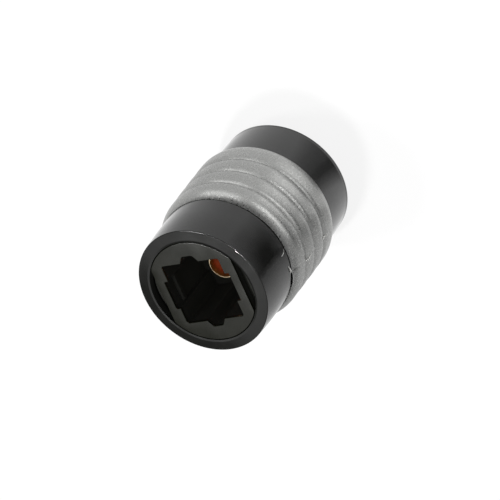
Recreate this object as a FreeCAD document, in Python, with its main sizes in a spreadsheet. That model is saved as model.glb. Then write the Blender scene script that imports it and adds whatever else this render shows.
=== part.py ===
"""Optical audio coupler: a round barrel with a grip, and a keyed plug socket at each end.

Millimetres. The coupler stands on one end: its axis is Z, and the middle of its lower rim is
the origin. X runs through the key notches of both sockets, and Y through their detents.
"""
import os

import FreeCAD
import Part
import Sketcher

SIZES = {
    # Barrel
    "tube_diameter": 18.0,
    "tube_length": 25.6,
    "tube_wall": 1.75,
    "rim_round": 0.4,
    "bore_edge": 0.08,
    # Grip round the middle of the barrel
    "grip_rise": 6.3,
    "grip_length": 12.1,
    "grip_wall": 0.75,
    "grip_taper_length": 1.4,
    "grip_taper_drop": 0.35,
    "grip_edge": 0.25,
    "groove_count": 3,
    "groove_pitch": 2.75,
    "groove_width": 0.9,
    "groove_floor": 0.3,
    "groove_depth": 0.25,
    # Socket insert, one in each end
    "insert_recess": 0.05,
    "nose_length": 3.0,
    "nose_clearance": 0.1,
    "nose_edge": 0.15,
    "flat_inset": 1.28,
    "flat_depth": 1.15,
    # Keyed socket in the insert
    "socket_width": 8.5,
    "socket_depth": 9.0,
    "socket_corner": 0.3,
    "key_depth": 0.92,
    "key_mouth": 2.7,
    "key_floor": 1.5,
    "channel_width": 4.0,
    "channel_depth": 0.6,
    "detent_drop": 1.9,
    "detent_length": 0.9,
    "detent_height": 0.3,
    "detent_slope": 0.15,
    # Sleeve in which the plug ferrules meet
    "sleeve_diameter": 3.9,
    "sleeve_bore": 3.0,
    "sleeve_drop": 6.05,
    "sleeve_edge": 0.06,
    "lead_in": 0.28,
    "lead_in_depth": 0.5,
}

# Lengths that follow from the sizes above
MIDDLE = "sizes.tube_length / 2"
TUBE_RADIUS = "sizes.tube_diameter / 2"
BORE_RADIUS = "(sizes.tube_diameter / 2 - sizes.tube_wall)"
GRIP_RADIUS = "(sizes.tube_diameter / 2 + sizes.grip_wall)"
INSERT_LENGTH = "(sizes.tube_length / 2 - sizes.insert_recess)"
SLEEVE_HALF = f"({INSERT_LENGTH} - sizes.sleeve_drop)"
CHANNEL_FLOOR = "(sizes.socket_width / 2 + sizes.channel_depth)"

TOLERANCE = 1e-4
TURNED_OVER = FreeCAD.Rotation(FreeCAD.Vector(1, 0, 0), 180)

doc = FreeCAD.newDocument("optical_audio_coupler")


def make_sheet():
    sheet = doc.addObject("Spreadsheet::Sheet", "sizes")
    for row, (alias, value) in enumerate(SIZES.items(), start=1):
        sheet.set(f"A{row}", alias)
        sheet.set(f"B{row}", str(value))
        sheet.setAlias(f"B{row}", alias)
    doc.recompute()
    return sheet


sheet = make_sheet()


def value(expression):
    """Number that an expression on the sheet's sizes stands for."""
    return float(sheet.evalExpression(expression.replace("sizes.", "")))


def new_body(label, height="0", turned=None):
    body = doc.addObject("PartDesign::Body", label)
    body.Label = label
    if turned is not None:
        body.Placement = FreeCAD.Placement(FreeCAD.Vector(), turned)
    body.setExpression("Placement.Base.z", height)
    return body


def new_sketch(body, name, role, height=None):
    """Sketch on one of the body's own planes, raised along the plane's normal."""
    sketch = body.newObject("Sketcher::SketchObject", name)
    plane = next(item for item in body.Origin.OriginFeatures if item.Role == role)
    sketch.AttachmentSupport = [(plane, "")]
    sketch.MapMode = "FlatFace"
    if height is not None:
        sketch.setExpression("AttachmentOffset.Base.z", height)
    return sketch


def bind(sketch, kind, line, name, expression):
    """Ties one coordinate of a line's start point, from the sketch's origin, to the sheet."""
    index = sketch.addConstraint(Sketcher.Constraint(kind, -1, 1, line, 1, value(expression)))
    sketch.renameConstraint(index, name)
    sketch.setExpression(f"Constraints.{name}", expression)


def draw_polygon(sketch, corners):
    """Closed outline through corners, each a pair of expressions on the sheet's sizes."""
    points = [FreeCAD.Vector(value(across), value(up), 0) for across, up in corners]
    count = len(points)
    for number, point in enumerate(points):
        sketch.addGeometry(Part.LineSegment(point, points[(number + 1) % count]), False)
    for number in range(count):
        following = (number + 1) % count
        sketch.addConstraint(Sketcher.Constraint("Coincident", number, 2, following, 1))
    for number, (across, up) in enumerate(corners):
        bind(sketch, "DistanceX", number, f"across_{number}", across)
        bind(sketch, "DistanceY", number, f"up_{number}", up)


def draw_rectangle(sketch, half_width, half_height):
    left, low = f"-({half_width})", f"-({half_height})"
    draw_polygon(sketch, [(left, low), (half_width, low), (half_width, half_height), (left, half_height)])


def draw_circle(sketch, radius):
    """Circle round the sketch's origin."""
    sketch.addGeometry(Part.Circle(FreeCAD.Vector(), FreeCAD.Vector(0, 0, 1), value(radius)), False)
    sketch.addConstraint(Sketcher.Constraint("Coincident", 0, 3, -1, 1))
    index = sketch.addConstraint(Sketcher.Constraint("Radius", 0, value(radius)))
    sketch.renameConstraint(index, "radius")
    sketch.setExpression("Constraints.radius", radius)


def turn(body, name, corners):
    """Solid of revolution about Z of a half section: corners give radius and height."""
    sketch = new_sketch(body, f"{name}_section", "XZ_Plane")
    draw_polygon(sketch, corners)
    solid = body.newObject("PartDesign::Revolution", name)
    solid.Profile = sketch
    solid.ReferenceAxis = (sketch, ["V_Axis"])
    solid.Angle = 360
    doc.recompute()
    return solid


def sink(body, name, sketch, depth=None):
    """Pocket from the sketch down into the body, to a depth or right through it."""
    before = body.Shape.Volume
    pocket = body.newObject("PartDesign::Pocket", name)
    pocket.Profile = sketch
    if depth is None:
        pocket.Type = "ThroughAll"
    else:
        pocket.setExpression("Length", depth)
    doc.recompute()
    if body.Shape.Volume >= before - TOLERANCE:
        raise RuntimeError(f"{name} cut nothing")
    return pocket


def edges_where(shape, test):
    return [f"Edge{number}" for number, edge in enumerate(shape.Edges, start=1) if test(edge)]


def dress(body, kind, name, base, test, size):
    """Fillet or chamfer on the edges of the base feature that pass the test."""
    feature = body.newObject(f"PartDesign::{kind}", name)
    feature.Base = (base, edges_where(base.Shape, test))
    feature.setExpression("Radius" if kind == "Fillet" else "Size", size)
    doc.recompute()
    return feature


def is_circle_of(radius):
    """Test for a whole circular edge of that radius, given as an expression."""
    wanted = value(radius)

    def test(edge):
        round_edge = isinstance(edge.Curve, Part.Circle)
        return round_edge and abs(edge.Curve.Radius - wanted) < TOLERANCE

    return test


def is_upright_at(half_width, half_depth):
    """Test for an edge along Z that stands this far to each side of the axis."""
    across, along = value(half_width), value(half_depth)

    def test(edge):
        ends = [vertex.Point for vertex in edge.Vertexes]
        if len(ends) != 2 or (ends[0] - ends[1]).cross(FreeCAD.Vector(0, 0, 1)).Length > TOLERANCE:
            return False
        place = ends[0]
        return abs(abs(place.x) - across) < TOLERANCE and abs(abs(place.y) - along) < TOLERANCE

    return test


def make_outer_tube():
    body = new_body("outer_tube")
    tube = turn(body, "tube", [
        (BORE_RADIUS, "0"),
        (TUBE_RADIUS, "0"),
        (TUBE_RADIUS, "sizes.tube_length"),
        (BORE_RADIUS, "sizes.tube_length"),
    ])
    rims = dress(body, "Fillet", "rims", tube, is_circle_of(TUBE_RADIUS), "sizes.rim_round")
    dress(body, "Chamfer", "bore_edges", rims, is_circle_of(BORE_RADIUS), "sizes.bore_edge")
    return body


def make_grip_sleeve():
    """Sleeve with tapered ends and a row of grooves round it, drawn from its own middle."""
    body = new_body("grip_sleeve", "sizes.grip_rise + sizes.grip_length / 2")
    low, high = "-sizes.grip_length / 2", "sizes.grip_length / 2"
    end_radius = f"({GRIP_RADIUS} - sizes.grip_taper_drop)"
    ring = turn(body, "ring", [
        (TUBE_RADIUS, low),
        (end_radius, low),
        (GRIP_RADIUS, f"{low} + sizes.grip_taper_length"),
        (GRIP_RADIUS, f"{high} - sizes.grip_taper_length"),
        (end_radius, high),
        (TUBE_RADIUS, high),
    ])
    edges = dress(body, "Chamfer", "edges", ring, is_circle_of(end_radius), "sizes.grip_edge")

    first = "-sizes.groove_pitch * (sizes.groove_count - 1) / 2"
    floor = f"{GRIP_RADIUS} - sizes.groove_depth"
    clear = f"{GRIP_RADIUS} + sizes.groove_depth"
    section = new_sketch(body, "groove_section", "XZ_Plane")
    draw_polygon(section, [
        (floor, f"{first} - sizes.groove_floor / 2"),
        (GRIP_RADIUS, f"{first} - sizes.groove_width / 2"),
        (clear, f"{first} - sizes.groove_width / 2"),
        (clear, f"{first} + sizes.groove_width / 2"),
        (GRIP_RADIUS, f"{first} + sizes.groove_width / 2"),
        (floor, f"{first} + sizes.groove_floor / 2"),
    ])
    groove = body.newObject("PartDesign::Groove", "groove")
    groove.Profile = section
    groove.ReferenceAxis = (section, ["V_Axis"])
    groove.Angle = 360
    doc.recompute()
    if body.Shape.Volume >= edges.Shape.Volume - TOLERANCE:
        raise RuntimeError("groove cut nothing")

    grooves = body.newObject("PartDesign::LinearPattern", "grooves")
    grooves.Originals = [groove]
    grooves.Direction = (section, ["V_Axis"])
    grooves.setExpression("Length", "sizes.groove_pitch * (sizes.groove_count - 1)")
    grooves.setExpression("Occurrences", "sizes.groove_count")
    body.Tip = grooves
    doc.recompute()
    return body


def make_socket_insert(label, turned=None):
    """Insert whose back is at the barrel's middle and whose face is at one end."""
    body = new_body(label, MIDDLE, turned)
    nose_radius = f"({BORE_RADIUS} - sizes.nose_clearance)"
    nose_start = f"({INSERT_LENGTH} - sizes.nose_length)"
    turn(body, "plug_body", [
        ("0", "0"),
        (BORE_RADIUS, "0"),
        (BORE_RADIUS, nose_start),
        (nose_radius, nose_start),
        (nose_radius, f"{INSERT_LENGTH} - sizes.nose_edge"),
        (f"{nose_radius} - sizes.nose_edge", INSERT_LENGTH),
        ("0", INSERT_LENGTH),
    ])

    for side, name in ((1, "flat_front"), (-1, "flat_back")):
        sketch = new_sketch(body, f"{name}_outline", "XY_Plane", INSERT_LENGTH)
        near = f"{side} * ({BORE_RADIUS} - sizes.flat_inset)"
        far = f"{side} * {TUBE_RADIUS}"
        left, right = f"-{TUBE_RADIUS}", TUBE_RADIUS
        draw_polygon(sketch, [(left, near), (right, near), (right, far), (left, far)])
        sink(body, name, sketch, "sizes.flat_depth")

    half = "sizes.socket_width / 2"
    opening = new_sketch(body, "socket_outline", "XY_Plane", INSERT_LENGTH)
    draw_rectangle(opening, half, half)
    sink(body, "socket", opening, "sizes.socket_depth")

    channels = new_sketch(body, "channel_outline", "XY_Plane", INSERT_LENGTH)
    draw_rectangle(channels, "sizes.channel_width / 2", CHANNEL_FLOOR)
    sink(body, "channels", channels, "sizes.socket_depth")

    floor = f"({half} + sizes.key_depth)"
    mouth_half, floor_half = "sizes.key_mouth / 2", "sizes.key_floor / 2"
    keys = new_sketch(body, "key_outline", "XY_Plane", INSERT_LENGTH)
    draw_polygon(keys, [
        (floor, f"-{floor_half}"),
        (floor, floor_half),
        (half, mouth_half),
        (f"-{half}", mouth_half),
        (f"-{floor}", floor_half),
        (f"-{floor}", f"-{floor_half}"),
        (f"-{half}", f"-{mouth_half}"),
        (half, f"-{mouth_half}"),
    ])
    key_notches = sink(body, "key_notches", keys, "sizes.socket_depth")

    dress(body, "Fillet", "socket_corners", key_notches, is_upright_at(half, half), "sizes.socket_corner")

    bore = new_sketch(body, "sleeve_seat_outline", "XY_Plane", INSERT_LENGTH)
    draw_circle(bore, "sizes.sleeve_diameter / 2")
    sink(body, "sleeve_seat", bore)

    top = f"({INSERT_LENGTH} - sizes.detent_drop)"
    bottom = f"({top} - sizes.detent_length)"
    crest = f"({CHANNEL_FLOOR} - sizes.detent_height)"
    for side, name in ((1, "detent_front"), (-1, "detent_back")):
        section = new_sketch(body, f"{name}_section", "YZ_Plane")
        draw_polygon(section, [
            (f"{side} * {CHANNEL_FLOOR}", bottom),
            (f"{side} * {crest}", f"{bottom} + sizes.detent_slope"),
            (f"{side} * {crest}", f"{top} - sizes.detent_slope"),
            (f"{side} * {CHANNEL_FLOOR}", top),
        ])
        ridge = body.newObject("PartDesign::Pad", name)
        ridge.Profile = section
        ridge.Midplane = True
        ridge.setExpression("Length", "sizes.channel_width")
        doc.recompute()
    return body


def make_ferrule_sleeve():
    """Tube with a tapered lead-in for the plug's ferrule at each mouth."""
    body = new_body("ferrule_sleeve", MIDDLE)
    inner, outer = "sizes.sleeve_bore / 2", "sizes.sleeve_diameter / 2"
    mouth = f"({inner} + sizes.lead_in)"
    bore_half = f"({SLEEVE_HALF} - sizes.lead_in_depth)"
    tube = turn(body, "tube_wall", [
        (inner, f"-{bore_half}"),
        (mouth, f"-{SLEEVE_HALF}"),
        (outer, f"-{SLEEVE_HALF}"),
        (outer, SLEEVE_HALF),
        (mouth, SLEEVE_HALF),
        (inner, bore_half),
    ])
    dress(body, "Chamfer", "outer_edges", tube, is_circle_of(outer), "sizes.sleeve_edge")
    return body


def check(bodies):
    for item in doc.Objects:
        if {"Invalid", "Error"} & set(item.State):
            raise RuntimeError(f"{item.Label} failed: {item.State}")
    for body in bodies:
        if body.Shape.isNull() or not body.Shape.isValid() or len(body.Shape.Solids) != 1:
            raise RuntimeError(f"{body.Label} is not one sound solid")


def write(bodies):
    os.makedirs("parts", exist_ok=True)
    for body in bodies:
        body.Shape.exportStep(f"parts/{body.Label}.step")
        box = body.Shape.optimalBoundingBox(False)
        print(f"{body.Label}: {body.Shape.Volume:.2f} mm3, {box.XLength:.2f} x {box.YLength:.2f}"
              f" x {box.ZLength:.2f}, z {box.ZMin:.2f} to {box.ZMax:.2f}")


pieces = [
    make_outer_tube(),
    make_grip_sleeve(),
    make_socket_insert("socket_insert_upper"),
    make_socket_insert("socket_insert_lower", TURNED_OVER),
    make_ferrule_sleeve(),
]
doc.recompute()
check(pieces)
write(pieces)
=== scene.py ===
"""Optical audio coupler: finished surfaces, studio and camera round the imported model."""

import math

import bmesh
import bpy
from mathutils import Matrix, Vector


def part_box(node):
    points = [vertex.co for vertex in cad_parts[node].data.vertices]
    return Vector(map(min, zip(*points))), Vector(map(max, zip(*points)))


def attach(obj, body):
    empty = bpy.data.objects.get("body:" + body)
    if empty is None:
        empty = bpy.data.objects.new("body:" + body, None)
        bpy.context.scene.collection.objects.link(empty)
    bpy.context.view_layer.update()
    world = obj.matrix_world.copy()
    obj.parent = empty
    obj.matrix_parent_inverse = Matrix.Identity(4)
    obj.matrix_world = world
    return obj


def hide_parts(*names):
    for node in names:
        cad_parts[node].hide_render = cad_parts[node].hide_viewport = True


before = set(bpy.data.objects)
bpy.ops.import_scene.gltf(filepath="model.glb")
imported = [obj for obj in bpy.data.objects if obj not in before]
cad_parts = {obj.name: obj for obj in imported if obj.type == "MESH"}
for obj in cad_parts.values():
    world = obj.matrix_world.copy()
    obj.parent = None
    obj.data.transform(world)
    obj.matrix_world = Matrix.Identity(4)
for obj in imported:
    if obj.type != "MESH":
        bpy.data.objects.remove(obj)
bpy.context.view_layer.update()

MM = 0.001

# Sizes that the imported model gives
tube_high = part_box("outer_tube")[1]
grip_low, grip_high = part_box("grip_sleeve")
insert_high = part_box("socket_insert_upper")[1]
sleeve_low, sleeve_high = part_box("ferrule_sleeve")
TUBE_RADIUS = tube_high.x
TUBE_LENGTH = tube_high.z
MIDDLE = TUBE_LENGTH / 2
GRIP_RADIUS = min(*grip_high.xy, *-grip_low.xy)
BORE_RADIUS = insert_high.x
INSERT_FACE = insert_high.z
SLEEVE_RADIUS = sleeve_high.x

# Sizes of the barrel: a slight draft to each end, rims whose face falls away to a round into the wall,
# and a bevelled edge at the bore
LOWER_DRAFT = 0.1 * MM
UPPER_DRAFT = 0.16 * MM
END_DRAFT_LENGTH = 4.8 * MM
LOWER_FALL = 0.05 * MM
UPPER_FALL = 0.135 * MM
RIM_ROUND = 0.13 * MM
BORE_EDGE = 0.25 * MM
BORE_EDGE_DEPTH = 0.04 * MM

# Where the bevel and the rim's face have rings of points, as shares of their width, and the barrel's steps
BORE_EDGE_SHARES = (0.0, 0.85)
RIM_FACE_SHARES = (0.0, 0.03, 0.3, 0.65, 0.97)
RIM_STEPS = 14
WALL_STEPS = 12
TUBE_ANGLES = 320

# Sizes of the grip: a slight draft, a long upper end, a short lower end, and creases between ribs
GRIP_DRAFT = 0.08 * MM
DRAFT_START = 10.0 * MM
DRAFT_POWER = 1.3
UPPER_END = 1.9 * MM
LOWER_END = 1.35 * MM
LOWER_DROP = 0.6 * MM
GRIP_GAP = 0.03 * MM
GRIP_UNDERCUT = 0.4 * MM
GROOVE_COUNT = 3
GROOVE_PITCH = 2.75 * MM
LOWER_SHOULDER = 0.6 * MM
UPPER_SHOULDER = 0.9 * MM
GROOVE_DEPTH = 0.13 * MM
GROOVE_POWER = 1.6
RIB_CROWN = 0.05 * MM

# The grip's steps, and the distances in millimetres from a crease at which it has rings of points
LOWER_END_STEPS = 14
UPPER_END_STEPS = 16
GRIP_ANGLES = 360
CREASE_RINGS = (0, 0.02, 0.05, 0.09, 0.14, 0.2, 0.28, 0.36, 0.45, 0.6, 0.85, 1.1, 1.37)

# The grip's moulding marks and wear: a parting line on two opposite sides, a stretch of the upper end that
# is lifted off the barrel, and a cut that runs into it. Angles are in degrees about the axis, and the
# lifts along the upper end are in millimetres.
PARTING = 69.5
PARTING_WIDTH = 0.16 * MM
PARTING_RISE = 0.02 * MM
LIP_LIFTS = (
    (0.0, 0.0), (40.0, 0.0), (70.0, 0.04), (86.0, 0.05), (106.0, 0.06), (121.0, 0.05), (136.0, 0.03),
    (151.0, 0.01), (166.0, 0.0), (360.0, 0.0),
)
NICK_ANGLES = (52.0, 74.0)
NICK_LIFT = 0.11 * MM
CUT_ENDS = ((71.0, 18.35 * MM), (72.5, 16.9 * MM))
CUT_WIDTH = 0.22 * MM
CUT_DEPTH = 0.22 * MM

# Finer steps round the grip at these marks: how many make a degree, and how many each mark takes
FINE_STEPS = 5
NICK_FINE_STEPS = 120
PARTING_FINE_STEPS = 8

# Pale strands of flash: each has a width, and places in degrees about the axis and millimetres of height.
# A tip has a share of the width, and a strand's middle stands off the surface by a share of half its width.
STRANDS = (
    (0.2 * MM, ((69.5, 8.9), (69.4, 9.6), (69.4, 10.2))),
    (0.2 * MM, ((70.3, 13.9), (69.5, 14.6), (68.7, 15.3))),
    (0.26 * MM, ((78.2, 19.0), (75.5, 18.85), (72.5, 18.7), (71.0, 18.65))),
    (0.075 * MM, ((93.4, 18.58), (91.65, 18.8), (90.7, 19.17), (90.5, 19.7))),
)
STRAND_STEPS = 5
STRAND_SIDES = 8
STRAND_TIP = 0.3
STRAND_RAISE = 0.5

# Sizes of the socket inserts
NOSE_LENGTH = 3.0 * MM
NOSE_CLEARANCE = 0.1 * MM
FLAT_INSET = 1.28 * MM
FLAT_DEPTH = 1.15 * MM
FACE_EDGE = 0.08 * MM
MOUTH_EDGE = 0.05 * MM
SOCKET_WIDTH = 8.5 * MM
SOCKET_DEPTH = 9.0 * MM
SOCKET_CORNER = 0.3 * MM
NOTCH_CORNER = 0.4 * MM
EDGE_CORNER = 0.12 * MM
KEY_DEPTH = 0.92 * MM
KEY_MOUTH = 2.7 * MM
KEY_FLOOR = 1.5 * MM
CHANNEL_WIDTH = 4.0 * MM
CHANNEL_DEPTH = 0.6 * MM
DETENT_DROP = 1.9 * MM
DETENT_LENGTH = 0.9 * MM
DETENT_HEIGHT = 0.3 * MM
DETENT_SLOPE = 0.15 * MM
OUTLINE_SPACING = 0.3 * MM
CORNER_STEPS = 6

# Sizes of the brass sleeve
SLEEVE_BORE_RADIUS = 1.5 * MM
SLEEVE_EDGE = 0.16 * MM
SLEEVE_LEAD = 0.27 * MM
SLEEVE_LEAD_DEPTH = 0.5 * MM
SLEEVE_ANGLES = 160

# Steps of the small rounded edges, the gap below which two points are joined, and the angles in degrees
# above which an edge is sharp
EDGE_STEPS = 5
MERGE_DISTANCE = 0.0001 * MM
TURNED_SHARP = 38
FLASH_SHARP = 60
INSERT_SHARP = 25

# Noise in the materials: its detail, and the part of its range that tones and roughness span
NOISE_DETAIL = 2.0
NOISE_SPAN = (0.3, 0.7)

# Black plastic: dark and light tones, the scales of the drift and of the skin's grain per metre, how
# deep the grain is, and the depths below the insert's face over which it turns from dull to glossy
TUBE_TONES = ((0.0075, 0.0077, 0.007), (0.0105, 0.0107, 0.0098))
INSERT_TONES = ((0.0062, 0.0066, 0.0038), (0.0095, 0.0099, 0.0065))
PLASTIC_DRIFT = 350
TUBE_GRAIN = 6000
INSERT_GRAIN = 9000
GRAIN_ROUGHNESS = 0.6
GRAIN_STRENGTH = 0.25
GRAIN_DEPTH = 0.012 * MM
PLASTIC_IOR = 1.5
DULL_DEPTHS = (0.5 * MM, 0.2 * MM)

# The grip's pearl fleck: how fine its flakes are, the share of them that lie bare, how softly that share
# is cut off, how far the bare ones lean, and the tones and gloss of both
FLAKES_PER_METRE = 6500
BARE_SHARE = 0.2
BARE_SOFTNESS = 0.05
FLAKE_LEAN = 0.1
GRIP_TONES = ((0.305, 0.307, 0.3), (0.325, 0.327, 0.32))
FLAKE_TONE = (0.34, 0.342, 0.334)
GRIP_ROUGHNESS = 0.32
FLAKE_ROUGHNESS = 0.24
GRIP_METALLIC = 0.88
GRIP_TINT = (0.78, 0.78, 0.78)

# The flash's tones, roughness and grain per metre
FLASH_TONES = ((0.62, 0.62, 0.6), (0.76, 0.76, 0.73))
FLASH_ROUGHNESS = (0.35, 0.5)
FLASH_GRAIN = 2500

# Brass: redder tones deeper in the bore, the lead-in's painted shade, the rim's painted highlight and the
# width over which it begins, and the depths below the mouth over which the deeper tones turn into the shade
DEEP_BORE_TONES = ((0.55, 0.19, 0.1), (0.68, 0.33, 0.18))
LEAD_SHADE_TONE = (0.3, 0.16, 0.05)
RIM_HIGHLIGHT_TONE = (0.78, 0.63, 0.42)
RIM_HIGHLIGHT_BLEND = 0.01 * MM
LEAD_SHADE_DEPTHS = (0.9 * MM, 0.3 * MM)
BRASS_ROUGHNESS = (0.4, 0.5)
BRASS_GRAIN = 700

# How the photograph sees the coupler: the tilt of the axis away from the line of sight, the way the
# axis points in the picture, the key notches' turn about the axis, and where the middle appears
VIEW_TILT = math.radians(42.3)
VIEW_ROLL = math.radians(127.12)
KEY_TURN = math.radians(36.0)
PICTURE_SIZE = 500
FOCAL_PIXELS = 3720.0
MIDDLE_PIXEL = (244.2, 236.58)
TUBE_PIXELS = 142.02
SENSOR_WIDTH = 36.0
CLIP_START = 0.01

# The floor's width in metres, its tone, and the share of an even white that the camera and reflections see
FLOOR_SIZE = 3.0
FLOOR_TONE = (0.9, 0.9, 0.9)
FLOOR_ROUGHNESS = 0.9
FLOOR_WHITE = 0.85

# Brightness of the tent against the sine of the height above the horizon
SKY = (
    (0.0, 0.05), (0.635, 0.045), (0.68, 0.56), (0.74, 0.62), (0.87, 0.7), (0.905, 0.34), (1.0, 0.25),
)

# Cards that lie on the floor and show only in reflections. Each has a brightness, a lift off the floor in
# millimetres, and its density at turns in degrees round the coupler and at reaches in millimetres. The
# flags and the veil have no brightness and darken what they cover.
CARDS = {
    "base_card": {
        "level": 1.25,
        "lift": 0.1,
        "turns": ((0, 1.0), (360, 1.0)),
        "reaches": ((9.1, 1.0), (14, 1.0), (17, 0.0)),
    },
    "left_card": {
        "level": 1.3,
        "lift": 0.1,
        "turns": ((185, 0.0), (215, 1.0), (275, 1.0), (300, 0.0)),
        "reaches": ((17, 0.0), (22, 1.0), (45, 1.0), (60, 0.0)),
    },
    "nose_card": {
        "level": 2.6,
        "lift": 0.1,
        "turns": ((115, 0.0), (130, 1.0), (164, 1.0), (176, 0.0)),
        "reaches": ((46, 0.0), (54, 0.6), (90, 1.0), (400, 1.0), (450, 0.0)),
    },
    "far_flag": {
        "level": 0.0,
        "lift": 0.1,
        "turns": ((-75, 0.0), (-50, 0.55), (60, 0.6), (95, 0.4), (110, 0.0)),
        "reaches": ((50, 0.0), (60, 1.0), (130, 1.0), (160, 0.0)),
    },
    "foot_flag": {
        "level": 0.0,
        "lift": 0.2,
        "turns": ((46, 0.0), (58, 0.6), (67, 0.9), (76, 0.65), (88, 0.5), (96, 0.25), (104, 0.0)),
        "reaches": ((9.2, 1.0), (14, 0.9), (18, 0.0)),
    },
    "flag": {
        "level": 0.0,
        "lift": 0.2,
        "turns": ((31, 0.0), (41, 1.0), (59, 0.95), (70, 0.75), (82, 0.5), (94, 0.3), (105, 0.0)),
        "reaches": ((20, 0.0), (24, 0.35), (26.5, 1.0), (36, 1.0), (44, 0.0)),
    },
    "veil": {
        "level": 0.0,
        "lift": 0.3,
        "turns": ((-60, 0.1), (-30, 0.16), (5, 0.14), (17, 0.25), (30, 0.5), (38, 0.6), (43, 0.0)),
        "reaches": ((13, 0.0), (16, 0.9), (25, 1.0), (42, 1.0), (55, 0.0)),
    },
    "grip_card": {
        "level": 1.9,
        "lift": 0.4,
        "turns": ((56, 0.0), (68, 0.5), (80, 1.0), (96, 1.0), (114, 0.0)),
        "reaches": ((14, 0.0), (17, 0.8), (22, 1.0), (25, 0.0)),
    },
    "brow_card": {
        "level": 3.5,
        "lift": 0.4,
        "turns": ((42, 0.0), (58, 0.6), (70, 0.75), (84, 1.0), (96, 1.0), (106, 0.0)),
        "reaches": ((41, 0.0), (47, 1.0), (75, 1.0), (95, 0.0)),
    },
}
CARD_STEP = 5

# Square soft lamps: turn round the coupler and lean from straight above in degrees, distance and size in
# metres, and power in watts
LAMPS = {
    "overhead_right": {"turn": 277, "lean": 13.6, "distance": 0.4, "size": 0.03, "watts": 1.1},
    "overhead_left": {"turn": 230, "lean": 25.0, "distance": 0.4, "size": 0.05, "watts": 0.6},
    "key": {"turn": 86, "lean": 25.0, "distance": 0.6, "size": 0.6, "watts": 0.8},
}


# Mesh building

def between(stops, at):
    """Value at a place between stops, each a place and a value."""
    for (low, first), (high, second) in zip(stops, stops[1:]):
        if at <= high:
            return first + (second - first) * max(0.0, (at - low) / (high - low))
    return stops[-1][1]


def even_angles(count):
    """Angles of evenly spaced steps round a full turn."""
    return [2 * math.pi * step / count for step in range(count)]


def arc(centre, radius, start, end, steps):
    """Points of an arc in a section, from one angle to another in degrees."""
    angles = [math.radians(start + (end - start) * step / steps) for step in range(steps + 1)]
    return [(centre[0] + radius * math.cos(a), centre[1] + radius * math.sin(a)) for a in angles]


def join_rings(builder, rings, closed):
    """Quads between rings of equally many points; closed joins the last ring to the first."""
    loops = [[builder.verts.new(point) for point in ring] for ring in rings]
    count = len(loops[0])
    pairs = list(zip(loops, loops[1:]))
    if closed:
        pairs.append((loops[-1], loops[0]))
    for low, high in pairs:
        for here in range(count):
            there = (here + 1) % count
            builder.faces.new((low[here], low[there], high[there], high[here]))
    return loops


def lathe(profile, angles, worn=None):
    """Closed section of (radius, height) points turned about Z; worn may move a point in its section."""
    builder = bmesh.new()
    rings = []
    for point in profile:
        ring = []
        for angle in angles:
            radius, height = point if worn is None else worn(*point, angle)
            ring.append((radius * math.cos(angle), radius * math.sin(angle), height))
        rings.append(ring)
    join_rings(builder, rings, closed=True)
    return builder


def finish_mesh(name, builder, material, node, sharp=TURNED_SHARP):
    """Object from a finished bmesh, smooth but for its sharp edges, standing for one CAD node."""
    bmesh.ops.remove_doubles(builder, verts=builder.verts, dist=MERGE_DISTANCE)
    bmesh.ops.recalc_face_normals(builder, faces=builder.faces)
    mesh = bpy.data.meshes.new(name)
    builder.to_mesh(mesh)
    builder.free()
    mesh.polygons.foreach_set("use_smooth", [True] * len(mesh.polygons))
    mesh.set_sharp_from_angle(angle=math.radians(sharp))
    piece = bpy.data.objects.new(name, mesh)
    bpy.context.scene.collection.objects.link(piece)
    mesh.materials.append(material)
    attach(piece, "root")
    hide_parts(node)


# Materials

def new_material(name):
    """Material with its nodes, links and Principled shader."""
    material = bpy.data.materials.new(name)
    material.use_nodes = True
    nodes = material.node_tree.nodes
    return material, nodes, material.node_tree.links, nodes["Principled BSDF"]


def own_place(nodes):
    """Place on the piece in its own coordinates, in metres."""
    return nodes.new("ShaderNodeTexCoord").outputs["Object"]


def operate(nodes, links, kind, operation, *terms):
    """Math or Vector Math node over terms that are linked outputs or fixed values."""
    node = nodes.new(kind)
    node.operation = operation
    used = [socket for socket in node.inputs if socket.enabled]
    for socket, term in zip(used, terms):
        if isinstance(term, bpy.types.NodeSocket):
            links.new(term, socket)
        else:
            socket.default_value = term
    return next(socket for socket in node.outputs if socket.enabled)


def math_node(nodes, links, operation, *terms):
    """Math node."""
    return operate(nodes, links, "ShaderNodeMath", operation, *terms)


def vector_node(nodes, links, operation, *terms):
    """Vector Math node."""
    return operate(nodes, links, "ShaderNodeVectorMath", operation, *terms)


def noise(nodes, links, scale, roughness=0.5):
    """Noise over the piece, with its scale per metre."""
    texture = nodes.new("ShaderNodeTexNoise")
    texture.inputs["Scale"].default_value = scale
    texture.inputs["Detail"].default_value = NOISE_DETAIL
    texture.inputs["Roughness"].default_value = roughness
    links.new(own_place(nodes), texture.inputs["Vector"])
    return texture.outputs["Fac"]


def remap(nodes, links, source, before, after):
    """Number carried from one range to another, and held at the ends."""
    node = nodes.new("ShaderNodeMapRange")
    for label, number in zip(("From Min", "From Max", "To Min", "To Max"), (*before, *after)):
        node.inputs[label].default_value = number
    links.new(source, node.inputs["Value"])
    return node.outputs["Result"]


def two_tone(nodes, links, factor, tones):
    """Tone that goes from dark to light over the noise's span."""
    ramp = nodes.new("ShaderNodeValToRGB")
    for element, position, tone in zip(ramp.color_ramp.elements, NOISE_SPAN, tones):
        element.position = position
        element.color = (*tone, 1)
    links.new(factor, ramp.inputs["Fac"])
    return ramp.outputs["Color"]


def mix_tones(nodes, links, factor, first, second):
    """Mix of two tones, each a linked output or a fixed tone."""
    node = nodes.new("ShaderNodeMix")
    node.data_type = "RGBA"
    links.new(factor, node.inputs["Factor"])
    for label, tone in (("A", first), ("B", second)):
        if isinstance(tone, bpy.types.NodeSocket):
            links.new(tone, node.inputs[label])
        else:
            node.inputs[label].default_value = (*tone, 1)
    return node.outputs["Result"]


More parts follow.
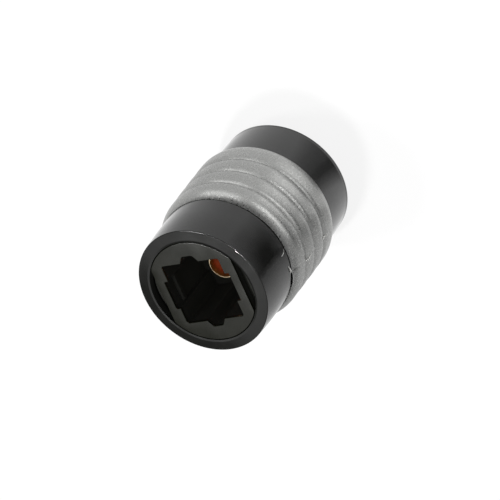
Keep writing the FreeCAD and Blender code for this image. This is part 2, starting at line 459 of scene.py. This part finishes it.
def from_middle(nodes, links):
    """Distance from the coupler's middle along its axis."""
    parts = nodes.new("ShaderNodeSeparateXYZ")
    links.new(own_place(nodes), parts.inputs["Vector"])
    height = math_node(nodes, links, "SUBTRACT", parts.outputs["Z"], MIDDLE)
    return math_node(nodes, links, "ABSOLUTE", height)


def black_plastic(name, tones, roughness, spread, grain, dull=None):
    """Moulded black plastic with a drift of tone and gloss, a fine grain, and a dull roughness within."""
    material, nodes, links, shader = new_material(name)
    drift = noise(nodes, links, PLASTIC_DRIFT)
    links.new(two_tone(nodes, links, drift, tones), shader.inputs["Base Color"])
    gloss = remap(nodes, links, drift, NOISE_SPAN, (roughness - spread, roughness + spread))
    if dull is not None:
        depths = [INSERT_FACE - MIDDLE - depth for depth in DULL_DEPTHS]
        extra = remap(nodes, links, from_middle(nodes, links), depths, (dull - roughness, 0.0))
        gloss = math_node(nodes, links, "ADD", gloss, extra)
    links.new(gloss, shader.inputs["Roughness"])
    skin = nodes.new("ShaderNodeBump")
    skin.inputs["Strength"].default_value = GRAIN_STRENGTH
    skin.inputs["Distance"].default_value = GRAIN_DEPTH
    links.new(noise(nodes, links, grain, GRAIN_ROUGHNESS), skin.inputs["Height"])
    links.new(skin.outputs["Normal"], shader.inputs["Normal"])
    shader.inputs["IOR"].default_value = PLASTIC_IOR
    return material


def pearl_grip():
    """Silver-grey plastic with a pearl fleck: some flakes lie bare and lean, and glint one by one."""
    material, nodes, links, shader = new_material("pearl_grip")
    flakes = nodes.new("ShaderNodeTexVoronoi")
    flakes.inputs["Scale"].default_value = FLAKES_PER_METRE
    links.new(own_place(nodes), flakes.inputs["Vector"])
    chance = nodes.new("ShaderNodeSeparateColor")
    links.new(flakes.outputs["Color"], chance.inputs["Color"])
    bare_from = (1 - BARE_SHARE - BARE_SOFTNESS, 1 - BARE_SHARE + BARE_SOFTNESS)
    bare = remap(nodes, links, chance.outputs["Red"], bare_from, (0.0, 1.0))

    middle = (1 - BARE_SHARE / 2, 0.5, 0.5)
    lean = vector_node(nodes, links, "SUBTRACT", flakes.outputs["Color"], middle)
    lean = vector_node(nodes, links, "MULTIPLY", lean, (FLAKE_LEAN / BARE_SHARE, FLAKE_LEAN, FLAKE_LEAN))
    lean = vector_node(nodes, links, "SCALE", lean, bare)
    outward = nodes.new("ShaderNodeNewGeometry").outputs["Normal"]
    leaning = vector_node(nodes, links, "ADD", outward, lean)
    leaning = vector_node(nodes, links, "NORMALIZE", leaning)
    links.new(leaning, shader.inputs["Normal"])

    skin = two_tone(nodes, links, chance.outputs["Green"], GRIP_TONES)
    links.new(mix_tones(nodes, links, bare, skin, FLAKE_TONE), shader.inputs["Base Color"])
    gloss = remap(nodes, links, bare, (0.0, 1.0), (GRIP_ROUGHNESS, FLAKE_ROUGHNESS))
    links.new(gloss, shader.inputs["Roughness"])
    shader.inputs["Metallic"].default_value = GRIP_METALLIC
    shader.inputs["Specular Tint"].default_value = (*GRIP_TINT, 1)
    return material


def pale_flash():
    """Thin bare plastic of the grip, paler than its pearl skin."""
    material, nodes, links, shader = new_material("pale_flash")
    grain = noise(nodes, links, FLASH_GRAIN)
    links.new(two_tone(nodes, links, grain, FLASH_TONES), shader.inputs["Base Color"])
    links.new(remap(nodes, links, grain, NOISE_SPAN, FLASH_ROUGHNESS), shader.inputs["Roughness"])
    return material


def turned_brass():
    """Brass: a painted highlight makes its rim pale, painted shade darkens its lead-in, and it is redder
    deeper in.
    """
    material, nodes, links, shader = new_material("turned_brass")
    tarnish = noise(nodes, links, BRASS_GRAIN)
    deep_tone = two_tone(nodes, links, tarnish, DEEP_BORE_TONES)
    # Painted shade: the lead-in, within a few tenths of a millimetre of the mouth, is given a dark tone
    depths = [sleeve_high.z - MIDDLE - depth for depth in LEAD_SHADE_DEPTHS]
    inside = remap(nodes, links, from_middle(nodes, links), depths, (1.0, 0.0))
    bore = mix_tones(nodes, links, inside, LEAD_SHADE_TONE, deep_tone)

    # Painted highlight: everything outward of the lead-in, the rim's end face and outer edge, gets a pale
    # tone
    across = vector_node(nodes, links, "MULTIPLY", own_place(nodes), (1, 1, 0))
    radius = vector_node(nodes, links, "LENGTH", across)
    lip = SLEEVE_BORE_RADIUS + SLEEVE_LEAD
    rim_highlight = remap(nodes, links, radius, (lip - RIM_HIGHLIGHT_BLEND, lip), (0.0, 1.0))
    links.new(mix_tones(nodes, links, rim_highlight, bore, RIM_HIGHLIGHT_TONE), shader.inputs["Base Color"])
    links.new(remap(nodes, links, tarnish, NOISE_SPAN, BRASS_ROUGHNESS), shader.inputs["Roughness"])
    shader.inputs["Metallic"].default_value = 1.0
    return material


# The barrel

def tube_rim(draft, fall):
    """One end of the barrel, from its bore to its full radius, with heights counted from the end."""
    inner = BORE_RADIUS + BORE_EDGE
    turn_in = TUBE_RADIUS - draft - RIM_ROUND
    lean = math.degrees(math.atan(fall / (turn_in - inner)))
    centre = fall + RIM_ROUND
    profile = []
    for share in BORE_EDGE_SHARES:
        profile.append((BORE_RADIUS + BORE_EDGE * share, BORE_EDGE_DEPTH * (1 - share)))
    for share in RIM_FACE_SHARES:
        profile.append((inner + (turn_in - inner) * share, fall * share))
    profile += arc((turn_in, centre), RIM_ROUND, -90 + lean, 0, RIM_STEPS)
    for step in range(1, WALL_STEPS + 1):
        share = step / WALL_STEPS
        height = centre + (END_DRAFT_LENGTH - centre) * share
        profile.append((TUBE_RADIUS - draft * (1 - share) ** 2, height))
    return profile


def build_tube(material):
    """Barrel, with an end of its own at the bottom and at the top."""
    lower = tube_rim(LOWER_DRAFT, LOWER_FALL)
    upper = [(radius, TUBE_LENGTH - height) for radius, height in tube_rim(UPPER_DRAFT, UPPER_FALL)]
    builder = lathe(lower + upper[::-1], even_angles(TUBE_ANGLES))
    finish_mesh("barrel", builder, material, "outer_tube")


# The grip

def end_fall(share):
    """Quarter-round fall: none where the share is 0, and all of it where it is 1."""
    return 1 - math.sqrt(1 - min(1.0, max(0.0, share)) ** 2)


def groove_heights():
    """Heights of the creases, spaced evenly about the grip's middle."""
    middle = (grip_low.z + grip_high.z) / 2
    return [middle + GROOVE_PITCH * (number - (GROOVE_COUNT - 1) / 2) for number in range(GROOVE_COUNT)]


def groove_cut(height, groove):
    """Depth of a crease: steep on the rib below it, and gentle on the rib above."""
    reach = LOWER_SHOULDER if height < groove else UPPER_SHOULDER
    return GROOVE_DEPTH * max(0.0, 1 - abs(height - groove) / reach) ** GROOVE_POWER


def upper_share(height):
    """Share of the upper end's fall at a height."""
    return max(0.0, (height - grip_high.z + UPPER_END) / UPPER_END) ** 2


def grip_radius(height):
    """Outside of the grip's section, without its marks."""
    upper_start = grip_high.z - UPPER_END
    lower_start = grip_low.z + LOWER_END
    draft = max(0.0, (height - DRAFT_START) / (upper_start - DRAFT_START))
    radius = GRIP_RADIUS - GRIP_DRAFT * min(1.0, draft) ** DRAFT_POWER
    upper_drop = GRIP_RADIUS - GRIP_DRAFT - TUBE_RADIUS - GRIP_GAP
    radius -= upper_drop * upper_share(height)
    radius -= LOWER_DROP * end_fall((lower_start - height) / LOWER_END)
    for groove in groove_heights():
        away = abs(height - groove)
        radius -= RIB_CROWN * max(0.0, 1 - 2 * away / GROOVE_PITCH) ** 2
        radius -= groove_cut(height, groove)
    return radius


def hump(at, low, high):
    """Rises smoothly from 0 at the low end to 1 in the middle and back to 0 at the high end."""
    if not low < at < high:
        return 0.0
    return math.sin(math.pi * (at - low) / (high - low)) ** 2


def round_grip(degrees):
    """Length round the grip that an angle in degrees spans."""
    return degrees * math.radians(1) * GRIP_RADIUS


def worn_grip(radius, height, angle):
    """The grip's outside with its moulding marks and wear."""
    if radius < TUBE_RADIUS + GRIP_GAP / 2:
        return radius, height
    degrees = math.degrees(angle)
    off_parting = abs((degrees - PARTING + 90) % 180 - 90)
    radius += PARTING_RISE * max(0.0, 1 - round_grip(off_parting) / PARTING_WIDTH)
    (near_angle, near_height), (far_angle, far_height) = CUT_ENDS
    along = (height - far_height) / (near_height - far_height)
    if 0 < along < 1:
        off_cut = abs(degrees - far_angle - (near_angle - far_angle) * along)
        radius -= CUT_DEPTH * along * max(0.0, 1 - round_grip(off_cut) / CUT_WIDTH)
    lift = between(LIP_LIFTS, degrees) * MM
    radius += lift * upper_share(height) ** 2
    lowest = TUBE_RADIUS + GRIP_GAP
    if height > DRAFT_START:
        lowest += lift + NICK_LIFT * hump(degrees, *NICK_ANGLES)
    return max(radius, lowest), height


def slowing(steps):
    """Shares from 0 to 1 whose steps grow shorter towards 1."""
    return [math.sin(math.pi / 2 * step / steps) for step in range(steps + 1)]


def build_grip(material):
    """Grip as a closed ring round the barrel, with its marks."""
    low = grip_low.z
    high = grip_high.z
    heights = {low + LOWER_END * (1 - share) for share in slowing(LOWER_END_STEPS)}
    heights |= {high - UPPER_END * (1 - share) for share in slowing(UPPER_END_STEPS)}
    for groove in groove_heights():
        for away in CREASE_RINGS:
            heights |= {groove - away * MM, groove + away * MM}
    profile = [
        (TUBE_RADIUS, low + GRIP_UNDERCUT),
        (TUBE_RADIUS + GRIP_GAP, low),
        *[(grip_radius(height), height) for height in sorted(heights)],
        (TUBE_RADIUS, high - GRIP_UNDERCUT),
    ]
    fine = [NICK_ANGLES[0] + step / FINE_STEPS for step in range(NICK_FINE_STEPS)]
    for step in range(-PARTING_FINE_STEPS, PARTING_FINE_STEPS + 1):
        fine.append(PARTING + 180 + step / FINE_STEPS)
    angles = {*even_angles(GRIP_ANGLES), *map(math.radians, fine)}
    builder = lathe(profile, sorted(angles), worn_grip)
    finish_mesh("grip", builder, material, "grip_sleeve")


def strand_middle(angle, height):
    """Place on the grip or the barrel, at degrees about the axis and a height in millimetres."""
    at = height * MM
    radius = grip_radius(at) if grip_low.z < at < grip_high.z else TUBE_RADIUS
    turned = math.radians(angle)
    return Vector((radius * math.cos(turned), radius * math.sin(turned), at))


def add_strand(builder, width, places):
    """Thin strand that lies on the surface through the given places, and tapers to both ends."""
    stops = [Vector(place) for place in places]
    path = []
    for low, high in zip(stops, stops[1:]):
        path += [low.lerp(high, step / STRAND_STEPS) for step in range(STRAND_STEPS)]
    middles = [strand_middle(*place) for place in [*path, stops[-1]]]
    last = len(middles) - 1
    rings = []
    for number, middle in enumerate(middles):
        outward = Vector((middle.x, middle.y, 0)).normalized()
        along = middles[min(number + 1, last)] - middles[max(number - 1, 0)]
        aside = along.cross(outward).normalized()
        half = width / 2 * (STRAND_TIP + (1 - STRAND_TIP) * math.sin(math.pi * number / last))
        ring = []
        for side in even_angles(STRAND_SIDES):
            rise = STRAND_RAISE + math.sin(side)
            ring.append(middle + (aside * math.cos(side) + outward * rise) * half)
        rings.append(ring)
    join_rings(builder, rings, closed=False)


def build_flash(material):
    """Pale strands of flash and the sliver beside the lifted lip, closed at their ends."""
    builder = bmesh.new()
    for width, places in STRANDS:
        add_strand(builder, width, places)
    bmesh.ops.holes_fill(builder, edges=builder.edges)
    finish_mesh("grip_flash", builder, material, "grip_sleeve", FLASH_SHARP)


# The socket inserts

def rounded_outline(corners, spacing):
    """Closed outline through (x, y, rounding) corners, with arcs at the rounded ones."""
    points = []
    count = len(corners)
    for number, (x, y, rounding) in enumerate(corners):
        here = Vector((x, y))
        before = (Vector(corners[number - 1][:2]) - here).normalized()
        after = (Vector(corners[(number + 1) % count][:2]) - here).normalized()
        half = before.angle(after) / 2
        back = rounding / math.tan(half)
        centre = here + (before + after).normalized() * (rounding / math.sin(half))
        first = here + before * back - centre
        sweep = first.angle_signed(here + after * back - centre)
        for step in range(CORNER_STEPS + 1):
            turned = first.copy()
            turned.rotate(Matrix.Rotation(-sweep * step / CORNER_STEPS, 2))
            points.append(centre + turned)
    dense = []
    for here, there in zip(points, points[1:] + points[:1]):
        steps = max(1, round((there - here).length / spacing))
        dense += [here.lerp(there, step / steps) for step in range(steps)]
    return dense


def socket_outline():
    """Keyed square opening, seen from its mouth, going round anticlockwise."""
    half = SOCKET_WIDTH / 2
    quarter = [
        (half + KEY_DEPTH, KEY_FLOOR / 2, NOTCH_CORNER),
        (half, KEY_MOUTH / 2, EDGE_CORNER),
        (half, half, SOCKET_CORNER),
        (CHANNEL_WIDTH / 2, half, EDGE_CORNER),
        (CHANNEL_WIDTH / 2, half + CHANNEL_DEPTH, EDGE_CORNER),
    ]
    left = [(-x, y, rounding) for x, y, rounding in reversed(quarter)]
    upper = quarter + left
    lower = [(-x, -y, rounding) for x, y, rounding in upper]
    return rounded_outline(upper + lower, OUTLINE_SPACING)


def grown(outline, amount):
    """Outline moved outwards by an amount, along its own normals."""
    moved = []
    for number, here in enumerate(outline):
        along = outline[(number + 1) % len(outline)] - outline[number - 1]
        moved.append(here + Vector((along.y, -along.x)).normalized() * amount)
    return moved


def face_outline(directions, radius, flat):
    """Round face with two flats, at the given directions from the middle."""
    points = []
    for direction in directions:
        reach = radius
        if abs(direction.y) * radius > flat:
            reach = flat / abs(direction.y)
        points.append(direction * reach)
    return points


def at_height(points, height):
    """Flat outline set at a height."""
    return [(point.x, point.y, height) for point in points]


def detent_bar(builder, side):
    """Low ridge across a detent channel, with sloped flanks."""
    floor = SOCKET_WIDTH / 2 + CHANNEL_DEPTH
    crest = floor - DETENT_HEIGHT
    sunk = floor + DETENT_HEIGHT / 2
    top = INSERT_FACE - DETENT_DROP
    bottom = top - DETENT_LENGTH
    section = [
        (sunk, bottom),
        (floor, bottom),
        (crest, bottom + DETENT_SLOPE),
        (crest, top - DETENT_SLOPE),
        (floor, top),
        (sunk, top),
    ]
    ends = []
    for x in (-CHANNEL_WIDTH / 2, CHANNEL_WIDTH / 2):
        ends.append([(x, side * y, z) for y, z in section])
    for end in join_rings(builder, ends, closed=False):
        builder.faces.new(end)


def build_insert(name, node, turned_over, material):
    """Insert in the upper end, or the same insert turned over in the lower end."""
    opening = socket_outline()
    directions = [point.normalized() for point in opening]
    nose = BORE_RADIUS - NOSE_CLEARANCE
    flat = BORE_RADIUS - FLAT_INSET
    whole_round = [direction * BORE_RADIUS for direction in directions]
    nose_round = [direction * nose for direction in directions]
    seat_round = [direction * SLEEVE_RADIUS for direction in directions]
    face = face_outline(directions, nose, flat)
    face_edge = []
    for step in range(1, EDGE_STEPS + 1):
        angle = math.pi / 2 * step / EDGE_STEPS
        back = FACE_EDGE * (1 - math.cos(angle))
        down = FACE_EDGE * (1 - math.sin(angle))
        face_edge.append(at_height(face_outline(directions, nose - back, flat - back), INSERT_FACE - down))
    shoulder = INSERT_FACE - NOSE_LENGTH
    pocket = INSERT_FACE - FLAT_DEPTH
    floor = INSERT_FACE - SOCKET_DEPTH
    builder = bmesh.new()
    join_rings(builder, [
        at_height(whole_round, MIDDLE),
        at_height(whole_round, shoulder),
        at_height(nose_round, shoulder),
        at_height(nose_round, pocket),
        at_height(face, pocket),
        at_height(face, INSERT_FACE - FACE_EDGE),
        *face_edge,
        at_height(grown(opening, MOUTH_EDGE), INSERT_FACE),
        at_height(opening, INSERT_FACE - MOUTH_EDGE),
        at_height(opening, floor),
        at_height(seat_round, floor),
        at_height(seat_round, MIDDLE),
    ], closed=True)
    for side in (1, -1):
        detent_bar(builder, side)
    if turned_over:
        half_turn = Matrix.Rotation(math.pi, 4, "X")
        bmesh.ops.rotate(builder, verts=builder.verts, cent=(0, 0, MIDDLE), matrix=half_turn)
    finish_mesh(name, builder, material, node, INSERT_SHARP)


# The brass sleeve

def build_sleeve(material):
    """Sleeve with a lead-in and a rounded outer edge at both ends."""
    low = sleeve_low.z
    high = sleeve_high.z
    centre = SLEEVE_RADIUS - SLEEVE_EDGE
    mouth = [(SLEEVE_BORE_RADIUS, SLEEVE_LEAD_DEPTH), (SLEEVE_BORE_RADIUS + SLEEVE_LEAD, 0)]
    profile = [
        *[(radius, low + depth) for radius, depth in mouth],
        *arc((centre, low + SLEEVE_EDGE), SLEEVE_EDGE, -90, 0, EDGE_STEPS),
        *arc((centre, high - SLEEVE_EDGE), SLEEVE_EDGE, 0, 90, EDGE_STEPS),
        *[(radius, high - depth) for radius, depth in reversed(mouth)],
    ]
    builder = lathe(profile, even_angles(SLEEVE_ANGLES))
    finish_mesh("brass_sleeve", builder, material, "ferrule_sleeve")


# Camera

def view_axes():
    """The photograph's right, down and forward directions, in the coupler's own axes."""
    aside = math.sin(VIEW_TILT)
    axis = Vector((aside * math.cos(VIEW_ROLL), aside * math.sin(VIEW_ROLL), -math.cos(VIEW_TILT)))
    across = axis.cross(Vector((0, 0, 1))).normalized()
    down = -axis.cross(across)
    x_axis = across * math.cos(KEY_TURN) + down * math.sin(KEY_TURN)
    y_axis = axis.cross(x_axis)
    return [Vector(direction) for direction in zip(x_axis, y_axis, axis)]


def add_camera():
    """Camera that sees the coupler as the photograph does."""
    right, down, forward = view_axes()
    distance = FOCAL_PIXELS * 2 * TUBE_RADIUS / TUBE_PIXELS
    metres_per_pixel = distance / FOCAL_PIXELS
    aside = (MIDDLE_PIXEL[0] - PICTURE_SIZE / 2) * metres_per_pixel
    below = (MIDDLE_PIXEL[1] - PICTURE_SIZE / 2) * metres_per_pixel
    place = Vector((0, 0, MIDDLE)) - forward * distance - right * aside - down * below
    data = bpy.data.cameras.new("camera")
    data.sensor_width = SENSOR_WIDTH
    data.lens = FOCAL_PIXELS * SENSOR_WIDTH / PICTURE_SIZE
    data.clip_start = CLIP_START
    camera = bpy.data.objects.new("camera", data)
    turn = Matrix((right, -down, -forward)).transposed()
    camera.matrix_world = Matrix.Translation(place) @ turn.to_4x4()
    bpy.context.scene.collection.objects.link(camera)
    bpy.context.scene.camera = camera


# Studio

def add_floor():
    """White floor: seen and mirrored as an even white, and shaded where the coupler hides the light."""
    mesh = bpy.data.meshes.new("floor")
    half = FLOOR_SIZE / 2
    corners = [(-half, -half, 0), (half, -half, 0), (half, half, 0), (-half, half, 0)]
    mesh.from_pydata(corners, [], [(0, 1, 2, 3)])
    floor = bpy.data.objects.new("floor", mesh)
    bpy.context.scene.collection.objects.link(floor)
    material, nodes, links, shader = new_material("floor_white")
    shader.inputs["Base Color"].default_value = (*FLOOR_TONE, 1)
    shader.inputs["Roughness"].default_value = FLOOR_ROUGHNESS
    glow = nodes.new("ShaderNodeEmission")
    glow.inputs["Strength"].default_value = 1.0
    path = nodes.new("ShaderNodeLightPath")
    seen = path.outputs["Is Camera Ray"]
    for label in ("Is Glossy Ray", "Is Transmission Ray"):
        seen = math_node(nodes, links, "MAXIMUM", seen, path.outputs[label])
    mix = nodes.new("ShaderNodeMixShader")
    links.new(math_node(nodes, links, "MULTIPLY", seen, FLOOR_WHITE), mix.inputs["Fac"])
    links.new(shader.outputs["BSDF"], mix.inputs[1])
    links.new(glow.outputs["Emission"], mix.inputs[2])
    links.new(mix.outputs["Shader"], nodes["Material Output"].inputs["Surface"])
    mesh.materials.append(material)


def add_world():
    """Tent that is dim up to forty degrees, bright from there to sixty, and dimmer overhead."""
    world = bpy.data.worlds.new("tent")
    bpy.context.scene.world = world
    world.use_nodes = True
    nodes = world.node_tree.nodes
    links = world.node_tree.links
    where = nodes.new("ShaderNodeTexCoord")
    parts = nodes.new("ShaderNodeSeparateXYZ")
    ramp = nodes.new("ShaderNodeValToRGB")
    links.new(where.outputs["Generated"], parts.inputs["Vector"])
    links.new(parts.outputs["Z"], ramp.inputs["Fac"])
    while len(ramp.color_ramp.elements) < len(SKY):
        ramp.color_ramp.elements.new(1.0)
    for element, (rise, level) in zip(ramp.color_ramp.elements, SKY):
        element.position = rise
        element.color = (level, level, level, 1)
    links.new(ramp.outputs["Color"], nodes["Background"].inputs["Color"])
    nodes["Background"].inputs["Strength"].default_value = 1.0


def add_card(name, level, lift, turns, reaches):
    """Card on the floor that only reflections see, with edges that fade out."""
    start = turns[0][0]
    sweep = turns[-1][0] - start
    steps = round(sweep / CARD_STEP)
    points = []
    shares = []
    for step in range(steps + 1):
        angle = start + sweep * step / steps
        turned = math.radians(angle) + KEY_TURN
        for reach, share in reaches:
            points.append((reach * MM * math.cos(turned), reach * MM * math.sin(turned), lift * MM))
            shares.append(between(turns, angle) * share)
    width = len(reaches)
    faces = []
    for row in range(steps):
        for first in range(row * width, row * width + width - 1):
            faces.append((first, first + 1, first + width + 1, first + width))
    mesh = bpy.data.meshes.new(name)
    mesh.from_pydata(points, [], faces)
    mesh.attributes.new("share", "FLOAT", "POINT").data.foreach_set("value", shares)
    card = bpy.data.objects.new(name, mesh)
    bpy.context.scene.collection.objects.link(card)
    card.visible_camera = False
    card.visible_diffuse = False
    card.visible_shadow = False
    card.visible_transmission = False
    material, nodes, links, shader = new_material(name)
    shader.inputs["Base Color"].default_value = (0, 0, 0, 1)
    shader.inputs["Specular IOR Level"].default_value = 0.0
    shader.inputs["Emission Color"].default_value = (1, 1, 1, 1)
    shader.inputs["Emission Strength"].default_value = level
    density = nodes.new("ShaderNodeAttribute")
    density.attribute_name = "share"
    links.new(density.outputs["Fac"], shader.inputs["Alpha"])
    mesh.materials.append(material)


def add_lamp(name, turn, lean, distance, size, watts):
    """Soft lamp that faces the middle of the coupler's upper end."""
    angle = math.radians(turn) + KEY_TURN
    tilt = math.radians(lean)
    direction = Vector((math.sin(tilt) * math.cos(angle), math.sin(tilt) * math.sin(angle), math.cos(tilt)))
    data = bpy.data.lights.new(name, "AREA")
    data.shape = "SQUARE"
    data.size = size
    data.energy = watts
    lamp = bpy.data.objects.new(name, data)
    lamp.location = Vector((0, 0, TUBE_LENGTH)) + direction * distance
    lamp.rotation_mode = "QUATERNION"
    lamp.rotation_quaternion = (-direction).to_track_quat("-Z", "Y")
    bpy.context.scene.collection.objects.link(lamp)


insert_plastic = black_plastic("insert_plastic", INSERT_TONES, roughness=0.22, spread=0.04,
                               grain=INSERT_GRAIN, dull=0.85)
build_tube(black_plastic("tube_plastic", TUBE_TONES, roughness=0.13, spread=0.03, grain=TUBE_GRAIN))
build_grip(pearl_grip())
build_flash(pale_flash())
build_insert("upper_insert", "socket_insert_upper", False, insert_plastic)
build_insert("lower_insert", "socket_insert_lower", True, insert_plastic)
build_sleeve(turned_brass())

add_camera()
add_floor()
add_world()
for name, card in CARDS.items():
    add_card(name, **card)
for name, lamp in LAMPS.items():
    add_lamp(name, **lamp)

bpy.context.scene.view_settings.view_transform = "Standard"
